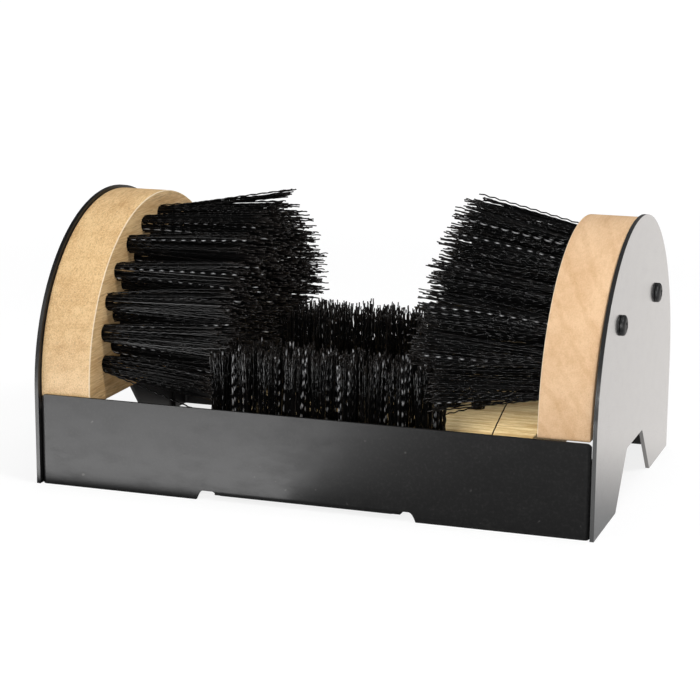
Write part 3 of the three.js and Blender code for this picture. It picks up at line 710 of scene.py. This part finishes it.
def tuft(centre, tip_centre, number, root_radius, fan):
    """Roots and tips of a tuft, packed evenly in a round hole and fanned out in order."""
    order = np.arange(number) + 0.5
    spread = np.sqrt(order / number)[:, None]
    turn = order * GOLDEN_TURN + draw.uniform(0, 2 * math.pi)
    rose = np.stack([np.cos(turn), np.sin(turn)], -1) * spread
    fold = np.column_stack([np.zeros(number), TUFT_FOLD * np.sign(rose[:, 1])])
    return np.asarray(centre) + root_radius * rose + fold, np.asarray(tip_centre) + fan * rose


bristle_finish = bristle_plastic()
RING_GROUPS = {"outer_ring": (0,), "second_ring": (1,), "third_ring": (2,), "inner_rings": (3, 4, 5, 6)}
for side, way in (("left", -1), ("right", 1)):
    block_low, block_high, radius, centre = block_sizes(side)
    rings = side_tuft_places(radius, centre, block_low.z)
    lowest = block_low.z + TUFT_FOOT_MARGIN
    middle = np.array([0, centre])
    face = block_high.x if side == "left" else block_low.x
    for part, members in RING_GROUPS.items():
        roots, ends = [], []
        for ring in (m for m in members if m < len(rings)):
            for place in rings[ring]:
                place = np.array(place)
                droop = SIDE_DROOP[side] * max(0, 1 - (place[1] - lowest) / DROOP_SPAN)
                tip = middle + (1 + np.array(SIDE_SPREAD[side])) * (place - middle)
                tip = tip + (SIDE_LEAN[side], -droop)
                pair = tuft(place, tip, SIDE_FILAMENTS[ring], TUFT_ROOT_RADIUS, SIDE_FAN)
                tips = pair[1] + draw.normal(size=pair[1].shape) * SIDE_WANDER
                tips[:, 1] = np.minimum(tips[:, 1], HIGHEST_TIP)
                number = len(tips)
                level = SIDE_LENGTH[side] - SIDE_TOP_TRIM[side] * (place[1] - centre) / radius
                reach = level + draw.uniform(*SIDE_RAGGED, number)
                low_tips = tips[:, 1] < LOW_TIP_RISE
                short = abs(face) - LOW_TIP_REACH + draw.uniform(*SIDE_RAGGED, number) / 2
                reach = np.where(low_tips, np.minimum(reach, short), reach)
                root_x = np.full(number, face + way * TUFT_ROOT_DEPTH)
                roots.append(np.column_stack([root_x, pair[0]]))
                ends.append(np.column_stack([face - way * reach, tips]))
        if part == "outer_ring":
            roots += [[root] for root, _ in STRAYS[side]]
            ends += [[tip] for _, tip in STRAYS[side]]
        if part == "outer_ring" and side == "left":
            for points, first_and_last in ((roots, WISP_ROOTS), (ends, WISP_TIPS)):
                wander = draw.normal(size=(WISP_BRISTLES, 3)) * WISP_WANDER
                points.append(np.linspace(*first_and_last, WISP_BRISTLES) + wander)
        roots, ends = np.concatenate(roots), np.concatenate(ends)
        sag = draw.normal(size=roots.shape) * SIDE_WANDER / 2 * (0, 1, 1)
        mesh = filaments(f"{side}_{part}", roots, ends, sag, SIDE_GLINT_STRIPS[side])
        add_piece(f"{side}_bristles_{part}", mesh, bristle_finish, "bristle", f"{side}_bristles")

# Base bristles: shorter tufts of the same filament, stapled upright into the base block in
# two bands of three rows, with bare wood between the bands.
BASE_FILAMENTS = {"front": 34, "rear": 33}
BASE_FAN = {"front": 0.0052, "rear": 0.0062}
BASE_RAGGED = (-0.005, 0.0015)
BASE_EXTRA = {"front": 0.0, "rear": 0.0032}
BASE_WANDER = 0.0012
# Base filaments on these strips get painted glints on their crimp crests
BASE_GLINT_STRIPS = {"front": (3, 14, 20, 27), "rear": (9,)}
for end, rows in bands.items():
    tip_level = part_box(f"base_bristles_{end}")[1].z + BASE_EXTRA[end]
    roots, ends = [], []
    for row in rows:
        for place in row:
            pair = tuft(place, place, BASE_FILAMENTS[end], TUFT_ROOT_RADIUS, BASE_FAN[end])
            tips = pair[1] + draw.normal(size=pair[1].shape) * BASE_WANDER
            number = len(tips)
            level = tip_level + draw.uniform(*BASE_RAGGED, number)
            roots.append(np.column_stack([pair[0], np.full(number, base_high.z - TUFT_ROOT_DEPTH)]))
            ends.append(np.column_stack([tips, level]))
    roots, ends = np.concatenate(roots), np.concatenate(ends)
    sag = draw.normal(size=roots.shape) * BASE_WANDER / 2 * (1, 1, 0)
    mesh = filaments(f"base_{end}", roots, ends, sag, BASE_GLINT_STRIPS[end])
    add_piece(f"base_bristles_{end}_band", mesh, bristle_finish, "bristle", f"base_bristles_{end}")

# Screws: black steel with a low domed head and a cross recess. Four hold the side blocks
# through the end plates, four more go up through the cross strip into the base block.
PLATE_SCREW = {"length": 0.018, "head_radius": 0.0051, "head_height": 0.0025}
STRIP_SCREW = {"length": 0.015, "head_radius": 0.0045, "head_height": 0.0015}
SCREW_STEPS = 40
SCREW_SHANK_RADIUS = 0.0021
SCREW_TIP = 0.004
HEAD_RIM = 0.32
HEAD_ROUNDNESS = 0.6
HEAD_STEPS = 7
RECESS_HALF_SPAN = 0.0026
RECESS_HALF_WIDTH = 0.00055
RECESS_DEPTH = 0.0012
RECESS_OVERRUN = 0.001
RECESS_TOP = 1.5
RECESS_FLOOR = 0.45
RECESS_TAPER = 0.4
SCREW_BLACK = (0.02, 0.02, 0.021, 1)
SCREW_RUBBED = (0.05, 0.05, 0.05, 1)
SCREW_METAL = 0.35
PHOSPHATE_RELIEF = 0.15
PHOSPHATE_DEPTH = 0.0001


def screw_finish():
    """Black phosphate on steel: dull, slightly mottled, rubbed brighter in places."""
    material, tree, shader, where = surface("black_screw")
    mottle = ramp(tree, noise(tree, where, scale=900, detail=3, roughness=0.6), low=0.35, high=0.7)
    colour = blended(tree, mottle, SCREW_BLACK, SCREW_RUBBED)
    tree.links.new(colour, shader.inputs["Base Color"])
    rough = ramp(tree, mottle, low=0, high=1, to_low=0.38, to_high=0.55)
    tree.links.new(rough, shader.inputs["Roughness"])
    bumped(tree, shader, mottle, PHOSPHATE_RELIEF, PHOSPHATE_DEPTH)
    shader.inputs["Metallic"].default_value = SCREW_METAL
    return material


def turned_screw(length, head_radius, head_height):
    """A screw along Z: the head's underside at 0, its dome below, the tip at +length."""
    profile = [(0, length), (SCREW_SHANK_RADIUS, length - SCREW_TIP)]
    profile += [(SCREW_SHANK_RADIUS, 0), (head_radius, 0)]
    rim = -head_height * HEAD_RIM
    for i in range(HEAD_STEPS + 1):
        angle = math.pi / 2 * i / HEAD_STEPS
        out = head_radius * math.cos(angle) ** HEAD_ROUNDNESS
        profile.append((out, rim + (rim + head_height) * -math.sin(angle)))
    profile[-1] = (0, -head_height)
    mesh = bmesh.new()
    top = mesh.verts.new((0, 0, profile[0][1]))
    bottom = mesh.verts.new((0, 0, profile[-1][1]))
    rings = []
    for radius, level in profile[1:-1]:
        angles = [2 * math.pi * i / SCREW_STEPS for i in range(SCREW_STEPS)]
        rings.append([mesh.verts.new((radius * math.cos(a), radius * math.sin(a), level)) for a in angles])
    for i in range(SCREW_STEPS):
        mesh.faces.new((top, rings[0][i - 1], rings[0][i]))
        mesh.faces.new((bottom, rings[-1][i], rings[-1][i - 1]))
        for upper, lower in zip(rings, rings[1:]):
            mesh.faces.new((upper[i], upper[i - 1], lower[i - 1], lower[i]))
    bmesh.ops.recalc_face_normals(mesh, faces=mesh.faces)
    return mesh


def cross_cut(mesh, head_height):
    """Sinks a cross recess into the head, narrowing towards its floor."""
    cutter = bmesh.new()
    for turn in (math.pi / 4, -math.pi / 4):
        corners = []
        for level, share in ((-head_height - RECESS_OVERRUN, RECESS_TOP),
                             (-head_height + RECESS_DEPTH, RECESS_FLOOR)):
            half_span = RECESS_HALF_SPAN * share
            half_width = RECESS_HALF_WIDTH * (1 - RECESS_TAPER + RECESS_TAPER * share)
            for x, y in ((-1, -1), (1, -1), (1, 1), (-1, 1)):
                corners.append((x * half_span, y * half_width, level))
        turned_by = Matrix.Rotation(turn, 3, "Z")
        verts = [cutter.verts.new(turned_by @ Vector(c)) for c in corners]
        for face in ((3, 2, 1, 0), (4, 5, 6, 7), (0, 1, 5, 4), (1, 2, 6, 5), (2, 3, 7, 6), (3, 0, 4, 7)):
            cutter.faces.new([verts[i] for i in face])
    bmesh.ops.recalc_face_normals(cutter, faces=cutter.faces)
    return cut_away(mesh, cutter)


screw_black = screw_finish()
for node in sorted(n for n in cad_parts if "_screw_" in n):
    low_corner, high_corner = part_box(node)
    middle = (low_corner + high_corner) / 2
    screw = STRIP_SCREW if node.startswith("base") else PLATE_SCREW
    head_height = screw["head_height"]
    mesh = cross_cut(turned_screw(**screw), head_height)
    if node.startswith("base"):
        seat = Matrix.Translation((middle.x, middle.y, low_corner.z + head_height))
    else:
        way = 1 if node.startswith("left") else -1
        outer = low_corner.x if way > 0 else high_corner.x
        seat = Matrix.Translation((outer + way * head_height, middle.y, middle.z))
        seat = seat @ Matrix.Rotation(way * math.pi / 2, 4, "Y")
    mesh.transform(seat)
    shade_corners(mesh)
    add_piece(node.replace("screw", "fixing"), mesh, screw_black, "black_screw", node)

# Photo stand: a plain pale floor that glows white to the camera and, behind the scraper, to
# glossy surfaces too, soft lamps, one of them only for the base block that the brushes
# shade, and the camera at the photograph's angle.
FLOOR_SIZE = 24
FLOOR_PLAIN = (0.43, 0.43, 0.43, 1)
FLOOR_SHADOWED = (0.22, 0.22, 0.22, 1)
FLOOR_GLOW = 0.82
GLOW_NEAR = 0.5
GLOW_FAR = 1.6
BEHIND_FROM = -0.08
BEHIND_TO = 0.12
BESIDE_FROM = -0.4
BESIDE_TO = 0.15
SWEEP_TINT = (1.0, 0.965, 0.94, 1)
FILL = 0.3
FILL_TINT = (0.96, 0.98, 1.0, 1)
ROOM_GLOSS = 0.10
CAMERA_YAW = math.radians(18.747)
CAMERA_PITCH = math.radians(12.506)
CAMERA_ROLL = math.radians(0.407)
CAMERA_PLACE = (0.33786, -1.01843, 0.29971)
SENSOR = 36
FOCAL_LENGTH = 107.64
NEAREST_SEEN = 0.05
FARTHEST_SEEN = 60


def stage_floor():
    """A wide floor: to the camera white with a soft shadow, to other light plain grey, and
    behind the scraper a bright sweep in what is glossy."""
    sheet = bmesh.new()
    half = FLOOR_SIZE / 2
    corners = ((-half, -half), (half, -half), (half, half), (-half, half))
    sheet.faces.new([sheet.verts.new((x, y, 0)) for x, y in corners])
    data = bpy.data.meshes.new("stand_floor")
    sheet.to_mesh(data)
    sheet.free()
    material = bpy.data.materials.new("pale_floor")
    material.use_nodes = True
    tree = material.node_tree
    tree.nodes.clear()
    where = put(tree, "ShaderNodeTexCoord").outputs["Object"]
    away = put(tree, "ShaderNodeVectorMath", {0: where}, operation="LENGTH").outputs["Value"]
    spot = put(tree, "ShaderNodeSeparateXYZ", {"Vector": where})
    path = put(tree, "ShaderNodeLightPath")
    plain = put(tree, "ShaderNodeBsdfDiffuse", {"Color": FLOOR_PLAIN})
    shadow = put(tree, "ShaderNodeBsdfDiffuse", {"Color": FLOOR_SHADOWED})
    strength = ramp(tree, away, GLOW_NEAR, GLOW_FAR, FLOOR_GLOW, 1.0)
    glow = put(tree, "ShaderNodeEmission", {"Color": (1, 1, 1, 1), "Strength": strength})
    white = put(tree, "ShaderNodeAddShader", {0: shadow.outputs[0], 1: glow.outputs[0]})
    sweep = put(tree, "ShaderNodeEmission", {"Color": SWEEP_TINT, "Strength": 1.0})
    behind = math_node(tree, "MULTIPLY", ramp(tree, spot.outputs["Y"], BEHIND_FROM, BEHIND_TO),
                       ramp(tree, spot.outputs["X"], BESIDE_FROM, BESIDE_TO))
    behind = math_node(tree, "MULTIPLY", path.outputs["Is Glossy Ray"], behind)
    lit = put(tree, "ShaderNodeMixShader", {0: behind, 1: plain.outputs[0], 2: sweep.outputs[0]})
    mix = put(tree, "ShaderNodeMixShader",
              {0: path.outputs["Is Camera Ray"], 1: lit.outputs[0], 2: white.outputs[0]})
    put(tree, "ShaderNodeOutputMaterial", {"Surface": mix.outputs[0]})
    data.materials.append(material)
    floor = bpy.data.objects.new("stand_floor", data)
    bpy.context.scene.collection.objects.link(floor)
    floor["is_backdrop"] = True


def studio_world():
    """White for the camera, an even soft fill, and a dim room in what is glossy."""
    world = bpy.data.worlds.new("studio")
    bpy.context.scene.world = world
    world.use_nodes = True
    tree = world.node_tree
    tree.nodes.clear()
    path = put(tree, "ShaderNodeLightPath")
    gloss = put(tree, "ShaderNodeBackground", {"Color": (1, 1, 1, 1), "Strength": ROOM_GLOSS})
    fill = put(tree, "ShaderNodeBackground", {"Color": FILL_TINT, "Strength": FILL})
    white = put(tree, "ShaderNodeBackground", {"Color": (1, 1, 1, 1), "Strength": 1.0})
    lit = put(tree, "ShaderNodeMixShader",
              {0: path.outputs["Is Glossy Ray"], 1: fill.outputs[0], 2: gloss.outputs[0]})
    seen = math_node(tree, "MAXIMUM", path.outputs["Is Camera Ray"], path.outputs["Is Transmission Ray"])
    mix = put(tree, "ShaderNodeMixShader", {0: seen, 1: lit.outputs[0], 2: white.outputs[0]})
    put(tree, "ShaderNodeOutputWorld", {"Surface": mix.outputs[0]})


def soft_lamp(name, place, aim, width, height, power, tint=(1, 1, 1), lights="all"):
    """A rectangular lamp; lights says whether it acts on all, only as gloss or only on matt."""
    lamp = bpy.data.lights.new(name, "AREA")
    lamp.shape = "RECTANGLE"
    lamp.size = width
    lamp.size_y = height
    lamp.energy = power
    lamp.color = tint
    holder = bpy.data.objects.new(name, lamp)
    holder.location = place
    holder.rotation_euler = (Vector(place) - Vector(aim)).to_track_quat("Z", "Y").to_euler()
    holder.visible_camera = False
    holder.visible_diffuse = lights != "gloss"
    holder.visible_glossy = lights != "matt"
    bpy.context.scene.collection.objects.link(holder)
    return holder


stage_floor()
studio_world()
soft_lamp("front_lamp", place=(0.30, -1.32, 0.33), aim=(0, 0, 0.05), width=0.5, height=0.11, power=7.6)
soft_lamp("left_lamp", place=(-0.95, -0.95, 0.75), aim=(-0.05, 0, 0.05), width=0.5, height=0.5,
          power=4.5, tint=(1.0, 0.98, 0.95))
soft_lamp("top_lamp", place=(0.1, 0.45, 1.55), aim=(0, 0, 0.05), width=1.0, height=1.0,
          power=7.5, lights="matt")
soft_lamp("side_lamp", place=(0.9, -0.4, 1.3), aim=(0, 0, 0.08), width=0.4, height=0.4, power=9)
slot_lamp = soft_lamp("slot_lamp", place=(0.0, -1.25, 0.40), aim=(0.08, 0.03, 0.026), width=0.5,
                      height=0.25, power=85, lights="matt")
base_block_only = bpy.data.collections.new("base_block_only")
base_block_only.objects.link(bpy.data.objects["base_wood_block"])
slot_lamp.light_linking.receiver_collection = base_block_only
soft_lamp("floor_card", place=(-0.213, -0.225, 0.001), aim=(-0.213, -0.225, 1), width=0.40, height=0.25,
          power=2.75, lights="gloss")

camera_data = bpy.data.cameras.new("camera")
camera_data.sensor_width = SENSOR
camera_data.lens = FOCAL_LENGTH
camera_data.clip_start = NEAREST_SEEN
camera_data.clip_end = FARTHEST_SEEN
camera = bpy.data.objects.new("camera", camera_data)
aim = Euler((math.pi / 2 - CAMERA_PITCH, 0, CAMERA_YAW)).to_matrix().to_4x4()
camera.matrix_world = Matrix.Translation(CAMERA_PLACE) @ aim @ Matrix.Rotation(CAMERA_ROLL, 4, "Z")
bpy.context.scene.collection.objects.link(camera)
bpy.context.scene.camera = camera
bpy.context.scene.view_settings.view_transform = "Standard"

bpy.context.view_layer.update()
low_corner, high_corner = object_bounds()
